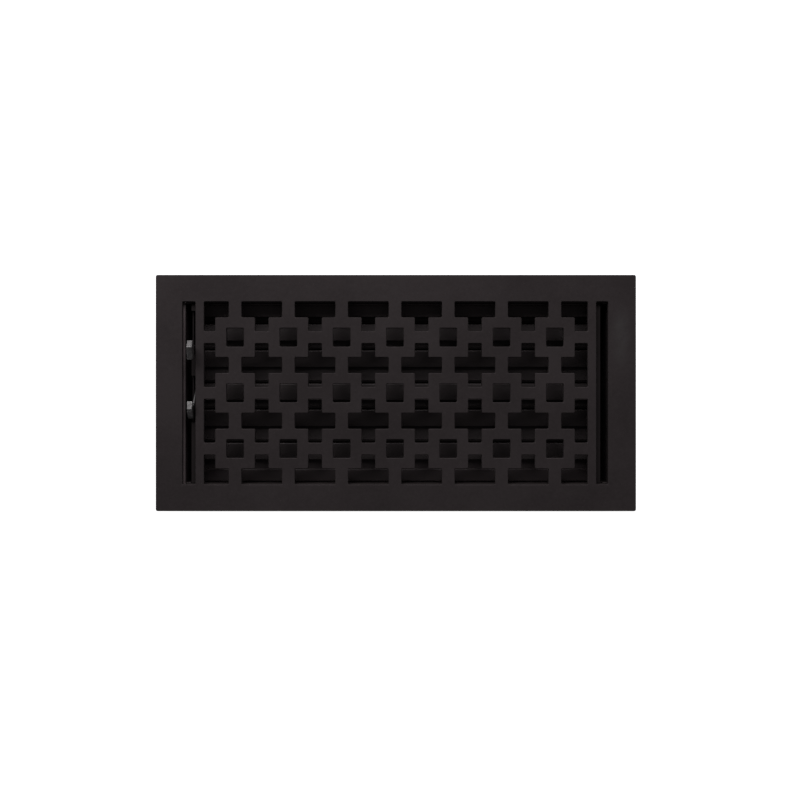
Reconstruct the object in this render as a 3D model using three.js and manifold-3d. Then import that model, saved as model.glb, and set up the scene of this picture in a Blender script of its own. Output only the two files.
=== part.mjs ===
// A cast iron floor register. A flat casting with a fretwork of squares and crosses lies over a
// sheet steel damper box, in which five stepped louver blades close like shingles. Two levers
// turn the blades in two groups, and stand up through a slot in the casting.
//
// Millimetres. +X runs along the length, +Y along the width, and +Z points out of the face.
// The origin is at the middle of the underside of the damper box.

import * as THREE from "three";
import { mergeVertices } from "three/addons/utils/BufferGeometryUtils.js";
import Module from "manifold-3d";

const wasm = await Module();
wasm.setup();

// Clearances
const GAP = 0.3;
const PIN_CLEARANCE = 0.3;

// Face plate
const FACE_LENGTH = 400.05;
const FACE_WIDTH = 196.85;
const FACE_CORNER_RADIUS = 1.4;
const SLAB_THICKNESS = 4.2;
const CAST_EDGE = 0.45;
const RIM_WIDTH = 4;
const RIM_DROP = 3.4;

// Fretwork, whose columns share out the length between the lever slots, and lie a little to the
// left of the middle
const END_BORDER = 22.275;
const FRET_OFFSET = -0.7;
const ROW_PITCH = 46.4;
const SQUARE_COLUMNS = 7;
const SQUARE_ROWS = 3;
const SQUARE_HOLE_LENGTH = 14.4;
const SQUARE_HOLE_WIDTH = 15.5;
const CROSS_ARM_LENGTH = 33.7;
const CROSS_ARM_WIDTH = 13.2;
const CROSS_STEM_LENGTH = 36.4;
const CROSS_STEM_WIDTH = 11.2;
const END_CROSS_REACH = 4.4;

// Lever slots, one beside each end of the fretwork
const SLOT_BAR_WIDTH = 7.15;
const LEVER_SLOT_WIDTH = 10.8;
const SPARE_SLOT_WIDTH = 9.8;

// Damper box. Its walls stand just outside the edges of the openings, but the left one stands
// inside the lever slot, so that its flange shows there.
const BOX_COVER = 0.15;
const LEFT_WALL_INSET = 2.2;
const BOX_WALL = 0.8;
const BOX_DEPTH = 42;
const CORNER_RETURN = 5;
const END_FLANGE_REACH = 9;
const SIDE_TABS = 3;
const SIDE_TAB_SPACING = 120;
const SIDE_TAB_LENGTH = 18;
const SIDE_TAB_REACH = 10;
const SIDE_TAB_HOLE_INSET = 5.2;

// Louver blades
const ROD_DEPTH = 24;
const ROD_RADIUS = 1.6;
const SHEET = 0.9;
const FACE_RISE = 1.8;
const BLADE_FACE_REACH = 15.8;
const BLADE_FLANGE_REACH = 13.8;
const LEFT_GROUP_TIP = -4;
const RIGHT_GROUP_TIP = 4;
const MIDDLE_ROD_OFFSET = 9.9;
const NARROW_SPACING = 22.2;
const WIDE_SPACING = 28.3;

// Fixed ledges that the outer blades close on
const BACK_LEDGE_WIDTH = 10.45;
const BACK_LEDGE_RISE = 5.5;
const LEDGE_LEG = 8;

// Cranks and link bars
const CRANK_RADIUS = 9;
const CRANK_PLATE = 1.4;
const CRANK_EYE_RADIUS = 3.2;
const CRANK_START = 26;
const CRANK_PIN_RADIUS = 1.2;
const LINK_PLATE = 1.5;
const LINK_HALF_WIDTH = 3.2;

// Bearing brackets
const BRACKET_PLATE = 1.2;
const BRACKET_FLANGE = 9.7;
const BRACKET_DROP = 8;
const ROD_END_REACH = 1.3;
const NOTCH_DROP = 5;
const NOTCH_MARGIN = 0.8;

// Levers
const LEVER_OPENING = 48;
const LEVER_SLOT_MARGIN = 0.45;
const LEVER_PLATE = 2;
const LEVER_ARM_WIDTH = 6.4;
const LEVER_HUB_RADIUS = 4.2;
const KNOB_BASE_HEIGHT = 28;
const KNOB_RIDGE_HEIGHT = 39.5;
const KNOB_THICKNESS = 4.8;
const KNOB_FRONT_REACH = 8.6;
const KNOB_BACK_REACH = 8;
const KNOB_RIDGE_OFFSET = 2.2;
const KNOB_FRONT_HEIGHT = 34.1;
const KNOB_BACK_HEIGHT = 35.1;
const KNOB_FRONT_RADIUS = 2.4;

// Screws
const BOX_SCREW = {
  head: 3.5, crown: 2.45, headHeight: 1.3, edgeHeight: 0.6, shank: 1.9, shankLength: 3.6,
};
const BRACKET_SCREW = {
  head: 2.6, crown: 1.8, headHeight: 1.2, edgeHeight: 0.55, shank: 1.4, shankLength: 3.9,
};
const SCREW_HOLE_DEPTH = 3.2;
const BRACKET_SCREW_SPACING = 136;

// Finish of each kind of piece
const CAST_IRON = { color: 0x2a2728, roughness: 0.62, metalness: 0.35 };
const BLACK_SHEET = { color: 0x1d1b1c, roughness: 0.55, metalness: 0.4 };
const LEVER_STEEL = { color: 0x6f6c6c, roughness: 0.42, metalness: 0.7 };
const SCREW_STEEL = { color: 0x4a4747, roughness: 0.45, metalness: 0.8 };

// Places worked out from the sizes above
const slotOuter = FACE_LENGTH / 2 - END_BORDER;
const slotInner = slotOuter - LEVER_SLOT_WIDTH;
const fretHalfLength = slotInner - SLOT_BAR_WIDTH;
const columnPitch = (fretHalfLength - END_CROSS_REACH) / (SQUARE_COLUMNS / 2);
const fretHalfWidth = (SQUARE_ROWS / 2) * ROW_PITCH + CROSS_ARM_WIDTH / 2;
const slabBottom = BOX_DEPTH + GAP;
const slabTop = slabBottom + SLAB_THICKNESS;
const rimBottom = slabBottom - RIM_DROP;
const boxHalfLength = slotOuter + BOX_COVER;
const boxHalfWidth = fretHalfWidth + BOX_COVER;
const boxInnerLength = boxHalfLength - BOX_WALL;
const boxInnerWidth = boxHalfWidth - BOX_WALL;
const rodHeight = slabTop - ROD_DEPTH;
const tabHoleAcross = boxHalfWidth + SIDE_TAB_HOLE_INSET;
const barCentre = fretHalfLength + SLOT_BAR_WIDTH / 2;
const wallFace = boxInnerWidth - GAP;

// The stack at each end, from the blade out: crank, link bar, lever, bracket web
const leverInner = slotInner + LEVER_SLOT_MARGIN;
const linkInner = leverInner - GAP - LINK_PLATE;
const crankInner = linkInner - GAP - CRANK_PLATE;
const bladeEnd = crankInner - GAP;
const webInner = leverInner + LEVER_PLATE + GAP;
const webOuter = webInner + BRACKET_PLATE;
const rodEnd = webOuter + ROD_END_REACH;
const sectionUnderside = -ROD_RADIUS - SHEET;
const armHeight = (KNOB_BASE_HEIGHT + KNOB_FRONT_HEIGHT) / 2;

// The blades from back to front: where the rod is, how far the sheet tips at rest in degrees,
// with the front edge up counted as positive, and which end carries the crank.
const rodPlaces = [
  MIDDLE_ROD_OFFSET + WIDE_SPACING + NARROW_SPACING,
  MIDDLE_ROD_OFFSET + WIDE_SPACING,
  MIDDLE_ROD_OFFSET,
  MIDDLE_ROD_OFFSET - NARROW_SPACING,
  MIDDLE_ROD_OFFSET - NARROW_SPACING - WIDE_SPACING,
];
const blades = rodPlaces.map((across, index) => {
  const leftGroup = index % 2 === 1;
  return { across, tip: leftGroup ? LEFT_GROUP_TIP : RIGHT_GROUP_TIP, side: leftGroup ? -1 : 1 };
});
const frontLedgeRod = rodPlaces[4] - NARROW_SPACING;

// The levers: which blade each turns, how far its arm and its knob lean to the front in degrees,
// how far from the web the middle of its knob lies, and how many degrees it swings from rest to
// close its blades.
const levers = [
  { name: "lever_upright", blade: 1, armLean: 4.5, knobLean: 2, knobOffset: 0, closing: 0 },
  { name: "lever_leaning", blade: 2, armLean: 46, knobLean: 24, knobOffset: 1.2, closing: 6 },
];

// Solids from three.js geometry
function toSolid(geometry) {
  const bare = geometry.clone();
  bare.deleteAttribute("normal");
  bare.deleteAttribute("uv");
  const merged = mergeVertices(bare, 1e-4);
  const mesh = new wasm.Mesh({
    numProp: 3,
    vertProperties: new Float32Array(merged.attributes.position.array),
    triVerts: new Uint32Array(merged.index.array),
  });
  return new wasm.Manifold(mesh);
}

function toGeometry(solid) {
  const mesh = solid.getMesh();
  const geometry = new THREE.BufferGeometry();
  geometry.setAttribute("position", new THREE.BufferAttribute(mesh.vertProperties, 3));
  geometry.setIndex(new THREE.BufferAttribute(mesh.triVerts, 1));
  geometry.computeVertexNormals();
  return geometry;
}

function joined(geometries) {
  return geometries.map(toSolid).reduce((whole, next) => whole.add(next));
}

function cut(solid, geometries) {
  return geometries.reduce((rest, tool) => rest.subtract(toSolid(tool)), solid);
}

function box(x0, x1, y0, y1, z0, z1) {
  const geometry = new THREE.BoxGeometry(x1 - x0, y1 - y0, z1 - z0);
  return geometry.translate((x0 + x1) / 2, (y0 + y1) / 2, (z0 + z1) / 2);
}

function upright(shape, z0, z1) {
  const options = { depth: z1 - z0, bevelEnabled: false, curveSegments: 3 };
  return new THREE.ExtrudeGeometry(shape, options).translate(0, 0, z0);
}

// An outline drawn in Y and Z, run along X
const ALONG_X = new THREE.Matrix4().makeBasis(
  new THREE.Vector3(0, 1, 0),
  new THREE.Vector3(0, 0, 1),
  new THREE.Vector3(1, 0, 0),
);

function alongX(shape, x0, x1, curveSegments = 6) {
  const options = { depth: x1 - x0, bevelEnabled: false, curveSegments };
  return new THREE.ExtrudeGeometry(shape, options).applyMatrix4(ALONG_X).translate(x0, 0, 0);
}

function rodAlongX(radius, x0, x1, y = 0, z = 0, sides = 12) {
  const geometry = new THREE.CylinderGeometry(radius, radius, x1 - x0, sides);
  return geometry.rotateZ(Math.PI / 2).translate((x0 + x1) / 2, y, z);
}

function pegAlongZ(radius, z0, z1, x, y, sides = 12) {
  const geometry = new THREE.CylinderGeometry(radius, radius, z1 - z0, sides);
  return geometry.rotateX(Math.PI / 2).translate(x, y, (z0 + z1) / 2);
}

function ordered(a, b) {
  return [Math.min(a, b), Math.max(a, b)];
}

function roundedRectangle(halfLength, halfWidth, radius) {
  const shape = new THREE.Shape();
  shape.moveTo(-halfLength + radius, -halfWidth);
  shape.lineTo(halfLength - radius, -halfWidth);
  shape.absarc(halfLength - radius, -halfWidth + radius, radius, -Math.PI / 2, 0);
  shape.lineTo(halfLength, halfWidth - radius);
  shape.absarc(halfLength - radius, halfWidth - radius, radius, 0, Math.PI / 2);
  shape.lineTo(-halfLength + radius, halfWidth);
  shape.absarc(-halfLength + radius, halfWidth - radius, radius, Math.PI / 2, Math.PI);
  shape.lineTo(-halfLength, -halfWidth + radius);
  shape.absarc(-halfLength + radius, -halfWidth + radius, radius, Math.PI, 1.5 * Math.PI);
  return shape;
}

function rectangleOutline(x0, x1, y0, y1) {
  const corners = [[x0, y0], [x1, y0], [x1, y1], [x0, y1]];
  return new THREE.Shape(corners.map(([x, y]) => new THREE.Vector2(x, y)));
}

// A cross of the fretwork, cut off where the fretwork ends. The arm of a cross that lies on the
// long edge of the fretwork runs out to that edge, which makes it a T.
function crossOutline(centreX, centreY) {
  const arm = CROSS_ARM_LENGTH / 2;
  const stem = CROSS_STEM_WIDTH / 2;
  const armWidth = CROSS_ARM_WIDTH / 2;
  const reach = CROSS_STEM_LENGTH / 2;
  const corners = [
    [arm, -armWidth], [arm, armWidth], [stem, armWidth], [stem, reach],
    [-stem, reach], [-stem, armWidth], [-arm, armWidth], [-arm, -armWidth],
    [-stem, -armWidth], [-stem, -reach], [stem, -reach], [stem, -armWidth],
  ];
  const clipped = corners.map(([x, y]) => new THREE.Vector2(
    THREE.MathUtils.clamp(centreX + x, -fretHalfLength, fretHalfLength),
    THREE.MathUtils.clamp(centreY + y, -fretHalfWidth, fretHalfWidth),
  ));
  return new THREE.Shape(withoutIdlePoints(clipped));
}

// Leaves out points that repeat, and points in the middle of a straight stretch
function withoutIdlePoints(points) {
  const near = 1e-6;
  const apart = points.filter((p, i) => p.distanceTo(points[(i + 1) % points.length]) > near);
  return apart.filter((p, i) => {
    const before = apart[(i + apart.length - 1) % apart.length];
    const after = apart[(i + 1) % apart.length];
    const turn = (p.x - before.x) * (after.y - p.y) - (p.y - before.y) * (after.x - p.x);
    return Math.abs(turn) > near;
  });
}

function fretworkOutlines() {
  const holes = [];
  for (let column = 0; column < SQUARE_COLUMNS; column += 1) {
    for (let row = 0; row < SQUARE_ROWS; row += 1) {
      const x = (column - (SQUARE_COLUMNS - 1) / 2) * columnPitch + FRET_OFFSET;
      const y = (row - (SQUARE_ROWS - 1) / 2) * ROW_PITCH;
      const halfLength = SQUARE_HOLE_LENGTH / 2;
      const halfWidth = SQUARE_HOLE_WIDTH / 2;
      holes.push(rectangleOutline(x - halfLength, x + halfLength, y - halfWidth, y + halfWidth));
    }
  }
  for (let column = 0; column <= SQUARE_COLUMNS; column += 1) {
    for (let row = 0; row <= SQUARE_ROWS; row += 1) {
      const x = (column - SQUARE_COLUMNS / 2) * columnPitch + FRET_OFFSET;
      const y = (row - SQUARE_ROWS / 2) * ROW_PITCH;
      holes.push(crossOutline(x, y));
    }
  }
  return holes;
}

// The tools that cut one opening through the slab, with its upper edge softened
function openingTools(outline) {
  const straight = upright(outline, slabBottom - SLAB_THICKNESS, slabTop);
  const flare = new THREE.ExtrudeGeometry(outline, {
    depth: SLAB_THICKNESS,
    bevelThickness: CAST_EDGE,
    bevelSize: CAST_EDGE,
    bevelSegments: 1,
  });
  return [straight, flare.translate(0, 0, slabTop)];
}

// The casting: a slab with a rim turned down round it, its openings and its blind screw holes
function facePlate() {
  const outer = roundedRectangle(
    FACE_LENGTH / 2 - CAST_EDGE, FACE_WIDTH / 2 - CAST_EDGE, FACE_CORNER_RADIUS,
  );
  const slab = new THREE.ExtrudeGeometry(outer, {
    depth: RIM_DROP + SLAB_THICKNESS - 2 * CAST_EDGE,
    bevelThickness: CAST_EDGE,
    bevelSize: CAST_EDGE,
    bevelSegments: 1,
    curveSegments: 3,
  }).translate(0, 0, rimBottom + CAST_EDGE);
  const recess = roundedRectangle(
    FACE_LENGTH / 2 - RIM_WIDTH, FACE_WIDTH / 2 - RIM_WIDTH, FACE_CORNER_RADIUS,
  );
  const slots = [[-slotOuter, -slotInner], [slotInner, slotInner + SPARE_SLOT_WIDTH]].map(
    ([x0, x1]) => rectangleOutline(x0, x1, -fretHalfWidth, fretHalfWidth),
  );
  return toGeometry(cut(toSolid(slab), [
    upright(recess, rimBottom - RIM_DROP, slabBottom),
    ...[...fretworkOutlines(), ...slots].flatMap(openingTools),
    ...boxScrewPlaces().map(([x, y]) => screwBore(BOX_SCREW, x, y)),
    ...bracketScrewPlaces().map(([x, y]) => screwBore(BRACKET_SCREW, x, y)),
  ]));
}

function screwBore(screw, x, y) {
  const bottom = slabBottom - RIM_DROP;
  return pegAlongZ(screw.shank + PIN_CLEARANCE, bottom, slabBottom + SCREW_HOLE_DEPTH, x, y);
}

function tabPlaces() {
  return Array.from({ length: SIDE_TABS }, (_, i) => (i - (SIDE_TABS - 1) / 2) * SIDE_TAB_SPACING);
}

function boxScrewPlaces() {
  return [1, -1].flatMap((side) => tabPlaces().map((x) => [x, side * tabHoleAcross]));
}

function bracketScrewPlaces() {
  const half = BRACKET_SCREW_SPACING / 2;
  return [-1, 1].flatMap((side) => [half, -half].map((y) => [side * barCentre, y]));
}

// Where the inner face of the end wall at one end of the box lies
function endWallInner(side) {
  return side < 0 ? slotOuter - LEFT_WALL_INSET : boxInnerLength;
}

// A long wall of the box, with tabs turned outwards under the border of the casting
function sideWall(side) {
  const [y0, y1] = ordered(side * boxInnerWidth, side * boxHalfWidth);
  const [tab0, tab1] = ordered(side * boxInnerWidth, side * (boxHalfWidth + SIDE_TAB_REACH));
  const halfTab = SIDE_TAB_LENGTH / 2;
  const [wall0, wall1] = [GAP - endWallInner(-1), endWallInner(1) - GAP];
  const pieces = [
    box(wall0, wall1, y0, y1, 0, BOX_DEPTH),
    ...tabPlaces().map((x) => (
      box(x - halfTab, x + halfTab, tab0, tab1, BOX_DEPTH - BOX_WALL, BOX_DEPTH)
    )),
  ];
  const holes = tabPlaces().map((x) => pegAlongZ(
    BOX_SCREW.shank + PIN_CLEARANCE, BOX_DEPTH - 2 * BOX_WALL, BOX_DEPTH + BOX_WALL,
    x, side * tabHoleAcross,
  ));
  return toGeometry(cut(joined(pieces), holes));
}

// A short wall of the box, with a return at each corner for the spot welds, and a flange turned
// outwards under the border of the casting
function endWall(side) {
  const inner = endWallInner(side);
  const outer = inner + BOX_WALL;
  const returnEnd = outer - CORNER_RETURN;
  const across = boxInnerWidth - GAP;
  const outline = [
    [returnEnd, -across], [outer, -across], [outer, across], [returnEnd, across],
    [returnEnd, across - BOX_WALL], [inner, across - BOX_WALL],
    [inner, BOX_WALL - across], [returnEnd, BOX_WALL - across],
  ];
  const points = outline.map(([x, y]) => new THREE.Vector2(side * x, y));
  const [flange0, flange1] = ordered(side * (inner + BOX_WALL / 2), side * (inner + END_FLANGE_REACH));
  return toGeometry(joined([
    upright(new THREE.Shape(points), 0, BOX_DEPTH),
    box(flange0, flange1, -across, across, BOX_DEPTH - BOX_WALL, BOX_DEPTH),
  ]));
}

// The stepped section of a blade round its rod at 0, 0. The flange reaches to the back, under
// the next blade, and the face reaches to the front.
function bladeSection(faceReach, flangeReach) {
  const step = -ROD_RADIUS;
  const section = new THREE.Shape();
  section.moveTo(flangeReach, sectionUnderside);
  section.lineTo(flangeReach, -ROD_RADIUS);
  section.lineTo(0, -ROD_RADIUS);
  section.absarc(0, 0, ROD_RADIUS, -Math.PI / 2, Math.PI / 2, false);
  section.lineTo(step, FACE_RISE);
  section.lineTo(-faceReach, FACE_RISE);
  section.lineTo(-faceReach, FACE_RISE - SHEET);
  section.lineTo(step - SHEET, FACE_RISE - SHEET);
  section.lineTo(step - SHEET / 2, sectionUnderside);
  section.closePath();
  return section;
}

// A blade about its own rod, untipped: the sheet, the two ends of the rod, and the crank with
// its pin. The crank keeps its angle in the box, so it is turned back by the tip of the sheet.
function bladeGeometry({ side, tip }) {
  const crankAngle = THREE.MathUtils.degToRad(CRANK_START + tip);
  const pinY = CRANK_RADIUS * Math.sin(crankAngle);
  const pinZ = -CRANK_RADIUS * Math.cos(crankAngle);
  const [crank0, crank1] = ordered(side * crankInner, side * (crankInner + CRANK_PLATE));
  const [pin0, pin1] = ordered(side * crankInner, side * (linkInner + LINK_PLATE));
  const pieces = [
    alongX(bladeSection(BLADE_FACE_REACH, BLADE_FLANGE_REACH), -bladeEnd, bladeEnd),
    rodAlongX(ROD_RADIUS - PIN_CLEARANCE / 2, -rodEnd, rodEnd),
    alongX(stadium(pinY, pinZ, CRANK_EYE_RADIUS), crank0, crank1),
    rodAlongX(CRANK_PIN_RADIUS, pin0, pin1, pinY, pinZ, 10),
  ];
  return toGeometry(joined(pieces));
}

// A bar with round ends, from 0, 0 to the given point
function stadium(y, z, radius) {
  const along = Math.atan2(z, y);
  const shape = new THREE.Shape();
  shape.absarc(0, 0, radius, along + Math.PI / 2, along + 1.5 * Math.PI, false);
  shape.absarc(y, z, radius, along - Math.PI / 2, along + Math.PI / 2, false);
  shape.closePath();
  return shape;
}

// A link bar, drawn from the pin of its first blade, with an eye for every pin of its group
function linkGeometry(group, side) {
  const reach = group.map((blade) => blade.across - group[0].across);
  const [x0, x1] = ordered(side * linkInner, side * (linkInner + LINK_PLATE));
  const bar = toSolid(alongX(stadium(reach[reach.length - 1], 0, LINK_HALF_WIDTH), x0, x1));
  const eyes = reach.map((y) => (
    rodAlongX(CRANK_PIN_RADIUS + PIN_CLEARANCE, x0 - LINK_PLATE, x1 + LINK_PLATE, y, 0, 10)
  ));
  return toGeometry(cut(bar, eyes));
}

// A bracket that carries the rods: an upright web, with a flange turned in under the bar of the
// casting. The left one has a notch in its flange for the swing of each lever.
function bracket(side) {
  const [web0, web1] = ordered(side * webInner, side * webOuter);
  const [flange0, flange1] = ordered(side * (webOuter - BRACKET_FLANGE), side * webOuter);
  const halfLength = boxInnerWidth - 2 * GAP;
  const bottom = rodHeight - BRACKET_DROP;
  const pieces = [
    box(web0, web1, -halfLength, halfLength, bottom, BOX_DEPTH),
    box(flange0, flange1, -halfLength, halfLength, BOX_DEPTH - BRACKET_PLATE, BOX_DEPTH),
  ];
  const holes = rodPlaces.map((y) => (
    rodAlongX(ROD_RADIUS + PIN_CLEARANCE, web0 - GAP, web1 + GAP, y, rodHeight)
  ));
  bracketScrewPlaces().filter(([x]) => x * side > 0).forEach(([x, y]) => {
    const radius = BRACKET_SCREW.shank + PIN_CLEARANCE;
    holes.push(pegAlongZ(radius, BOX_DEPTH - 2 * BRACKET_PLATE, BOX_DEPTH + BRACKET_PLATE, x, y));
  });
  if (side < 0) {
    levers.forEach((lever) => {
      const [front, back] = notchEnds(lever);
      const [notch0, notch1] = [-webOuter - GAP, GAP - leverInner];
      holes.push(box(notch0, notch1, front, back, BOX_DEPTH - NOTCH_DROP, BOX_DEPTH + GAP));
    });
  }
  return toGeometry(cut(joined(pieces), holes));
}

// Where the notch for a lever starts and ends across the box: it clears all of the lever that is
// no higher than the underside of the casting, at both ends of the swing
function notchEnds({ blade, armLean, knobLean, closing }) {
  const height = slabBottom - rodHeight;
  const ends = [closing, -LEVER_OPENING].flatMap((turn) => {
    const lean = THREE.MathUtils.degToRad(armLean + turn);
    const half = LEVER_ARM_WIDTH / 2 / Math.cos(lean);
    const middle = -height * Math.tan(lean);
    const low = knobPoints(armLean + turn, knobLean + turn).filter((point) => point.y < height);
    return [middle - half, middle + half, ...low.map((point) => point.x)];
  });
  const across = blades[blade].across;
  return [across + Math.min(...ends) - NOTCH_MARGIN, across + Math.max(...ends) + NOTCH_MARGIN];
}

// The fixed strip that the back blade closes under: an angle welded to the back wall
function backLedge() {
  const end = webInner - GAP;
  const top = rodHeight + BACK_LEDGE_RISE;
  return toGeometry(joined([
    box(-end, end, wallFace - BACK_LEDGE_WIDTH, wallFace, top - SHEET, top),
    box(-end, end, wallFace - SHEET, wallFace, top - SHEET, top + LEDGE_LEG),
  ]));
}

// The fixed strip that the front blade closes over: a blade's section that ends in a leg on the
// front wall
function frontLedge() {
  const end = webInner - GAP;
  const faceReach = wallFace + frontLedgeRod;
  const section = bladeSection(faceReach, BLADE_FLANGE_REACH);
  const strip = alongX(section, -end, end).translate(0, frontLedgeRod, rodHeight);
  const top = rodHeight + FACE_RISE;
  const leg = box(-end, end, -wallFace, SHEET - wallFace, top - LEDGE_LEG, top);
  return toGeometry(joined([strip, leg]));
}

// The outline of a knob in Y and Z about the rod, with its arm and itself leaning as given
function knobPoints(armLean, knobLean) {
  const lean = THREE.MathUtils.degToRad(armLean);
  const top = new THREE.Vector2(0, armHeight).rotateAround(new THREE.Vector2(), lean);
  const turn = THREE.MathUtils.degToRad(knobLean);
  const foot = new THREE.Vector2(0, armHeight);
  return knobOutline().getPoints(4).map((point) => (
    point.sub(foot).rotateAround(new THREE.Vector2(), turn).add(top)
  ));
}

// A lever about its rod: an arm of strip with a hub, and a knob with a ridged top
function leverGeometry({ armLean, knobLean, knobOffset }) {
  const arm = box(
    -leverInner - LEVER_PLATE, -leverInner,
    -LEVER_ARM_WIDTH / 2, LEVER_ARM_WIDTH / 2, 0, armHeight,
  );
  const hub = rodAlongX(LEVER_HUB_RADIUS, -leverInner - LEVER_PLATE, -leverInner, 0, 0, 18);
  const solidArm = joined([arm.rotateX(THREE.MathUtils.degToRad(armLean)), hub]);
  const knobCentre = -webInner - knobOffset;
  const knob = alongX(
    new THREE.Shape(knobPoints(armLean, knobLean)),
    knobCentre - KNOB_THICKNESS / 2, knobCentre + KNOB_THICKNESS / 2,
  );
  const bore = rodAlongX(
    ROD_RADIUS + PIN_CLEARANCE / 2, -leverInner - 2 * LEVER_PLATE, -leverInner + LEVER_PLATE,
  );
  return toGeometry(cut(solidArm.add(toSolid(knob)), [bore]));
}

function knobOutline() {
  const shape = new THREE.Shape();
  shape.moveTo(KNOB_BACK_REACH, KNOB_BACK_HEIGHT);
  shape.lineTo(KNOB_RIDGE_OFFSET, KNOB_RIDGE_HEIGHT);
  shape.lineTo(-KNOB_FRONT_REACH + KNOB_FRONT_RADIUS / 2, KNOB_FRONT_HEIGHT + KNOB_FRONT_RADIUS);
  shape.quadraticCurveTo(
    -KNOB_FRONT_REACH, KNOB_FRONT_HEIGHT + KNOB_FRONT_RADIUS / 2,
    -KNOB_FRONT_REACH + KNOB_FRONT_RADIUS / 2, KNOB_FRONT_HEIGHT - KNOB_FRONT_RADIUS,
  );
  shape.lineTo(-LEVER_ARM_WIDTH / 2, KNOB_BASE_HEIGHT);
  shape.lineTo(LEVER_ARM_WIDTH / 2, KNOB_BASE_HEIGHT);
  shape.closePath();
  return shape;
}

// A screw that points up, with its low head below: the head's flat seat is at height 0
function screwGeometry({ head, crown, headHeight, edgeHeight, shank, shankLength }) {
  const profile = [
    [0, -headHeight], [crown, -headHeight], [head, -edgeHeight], [head, 0],
    [shank, 0], [shank, shankLength], [0, shankLength],
  ];
  const points = profile.map(([radius, height]) => new THREE.Vector2(radius, height));
  return toGeometry(toSolid(new THREE.LatheGeometry(points, 14).rotateX(Math.PI / 2)));
}

// The object
const register = new THREE.Group();

function add(parent, name, geometry, finish) {
  const mesh = new THREE.Mesh(geometry, new THREE.MeshStandardMaterial(finish));
  mesh.name = name;
  parent.add(mesh);
  return mesh;
}

function groupAt(y, z) {
  const group = new THREE.Group();
  group.position.set(0, y, z);
  register.add(group);
  return group;
}

add(register, "face_plate", facePlate(), CAST_IRON);
add(register, "side_wall_back", sideWall(1), BLACK_SHEET);
add(register, "side_wall_front", sideWall(-1), BLACK_SHEET);
add(register, "end_wall_left", endWall(-1), BLACK_SHEET);
add(register, "end_wall_right", endWall(1), BLACK_SHEET);
add(register, "bearing_bracket_left", bracket(-1), BLACK_SHEET);
add(register, "bearing_bracket_right", bracket(1), BLACK_SHEET);
add(register, "stop_ledge_back", backLedge(), BLACK_SHEET);
add(register, "stop_ledge_front", frontLedge(), BLACK_SHEET);

blades.forEach((blade, index) => {
  const place = groupAt(blade.across, rodHeight);
  const mesh = add(place, `louver_blade_${index + 1}`, bladeGeometry(blade), BLACK_SHEET);
  mesh.rotation.x = THREE.MathUtils.degToRad(-blade.tip);
});

levers.forEach((lever) => {
  const place = groupAt(blades[lever.blade].across, rodHeight);
  add(place, lever.name, leverGeometry(lever), LEVER_STEEL);
});

[["link_bar_left", -1], ["link_bar_right", 1]].forEach(([name, side]) => {
  const group = blades.filter((blade) => blade.side === side);
  const start = THREE.MathUtils.degToRad(CRANK_START);
  const place = groupAt(
    group[0].across + CRANK_RADIUS * Math.sin(start), rodHeight - CRANK_RADIUS * Math.cos(start),
  );
  add(place, name, linkGeometry(group, side), BLACK_SHEET);
});

boxScrewPlaces().forEach(([x, y], index) => {
  const mesh = add(register, `box_screw_${index + 1}`, screwGeometry(BOX_SCREW), SCREW_STEEL);
  mesh.position.set(x, y, BOX_DEPTH - BOX_WALL - GAP);
});

bracketScrewPlaces().forEach(([x, y], index) => {
  const geometry = screwGeometry(BRACKET_SCREW);
  const mesh = add(register, `bracket_screw_${index + 1}`, geometry, SCREW_STEEL);
  mesh.position.set(x, y, BOX_DEPTH - BRACKET_PLATE - GAP);
});

export default register;
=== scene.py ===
"""A cast iron floor register with two finger levers, seen from straight above on a pale floor.

Metres. +X runs along the length, +Y along the width, +Z out of the face. The sizes repeat those of
the solids, so that each piece sits where the solids say. A few thin parts are drawn thinner, taller
or longer than the solids, by less than 1.5 millimetres.
"""
import math

import bmesh
import bpy
from mathutils import Matrix, Vector


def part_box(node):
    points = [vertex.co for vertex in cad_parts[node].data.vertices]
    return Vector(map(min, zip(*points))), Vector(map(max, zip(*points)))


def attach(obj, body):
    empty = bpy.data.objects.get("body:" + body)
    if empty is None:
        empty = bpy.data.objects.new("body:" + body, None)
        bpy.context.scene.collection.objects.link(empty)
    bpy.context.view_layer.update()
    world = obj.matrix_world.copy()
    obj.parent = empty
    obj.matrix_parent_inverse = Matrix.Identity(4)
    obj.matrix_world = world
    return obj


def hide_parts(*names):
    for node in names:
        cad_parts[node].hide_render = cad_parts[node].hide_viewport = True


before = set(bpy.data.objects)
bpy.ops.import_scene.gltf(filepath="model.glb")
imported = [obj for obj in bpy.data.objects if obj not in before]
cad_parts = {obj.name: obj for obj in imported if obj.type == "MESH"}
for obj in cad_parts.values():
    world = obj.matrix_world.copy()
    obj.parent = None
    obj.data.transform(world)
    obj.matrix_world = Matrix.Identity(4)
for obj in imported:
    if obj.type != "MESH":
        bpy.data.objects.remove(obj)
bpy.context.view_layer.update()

MM = 0.001

# Air left between pieces that are fixed side by side
CLEARANCE = 0.3 * MM

# Damper box
BOX_WALL = 0.8 * MM
BOX_DEPTH = 42 * MM
CORNER_RETURN = 5 * MM
SIDE_WALL_FACE = 75.55 * MM
SEAM = 0.02 * MM
END_WALL_FACES = {"left": -175.55 * MM, "right": 177.1 * MM}
END_FLANGE_REACH = 9 * MM
END_FLANGE_HALF_WIDTH = 76.7 * MM
SIDE_TAB_PLACES = [-120 * MM, 0, 120 * MM]
SIDE_TAB_HALF_LENGTH = 9 * MM
SIDE_TAB_REACH = 10 * MM

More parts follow.
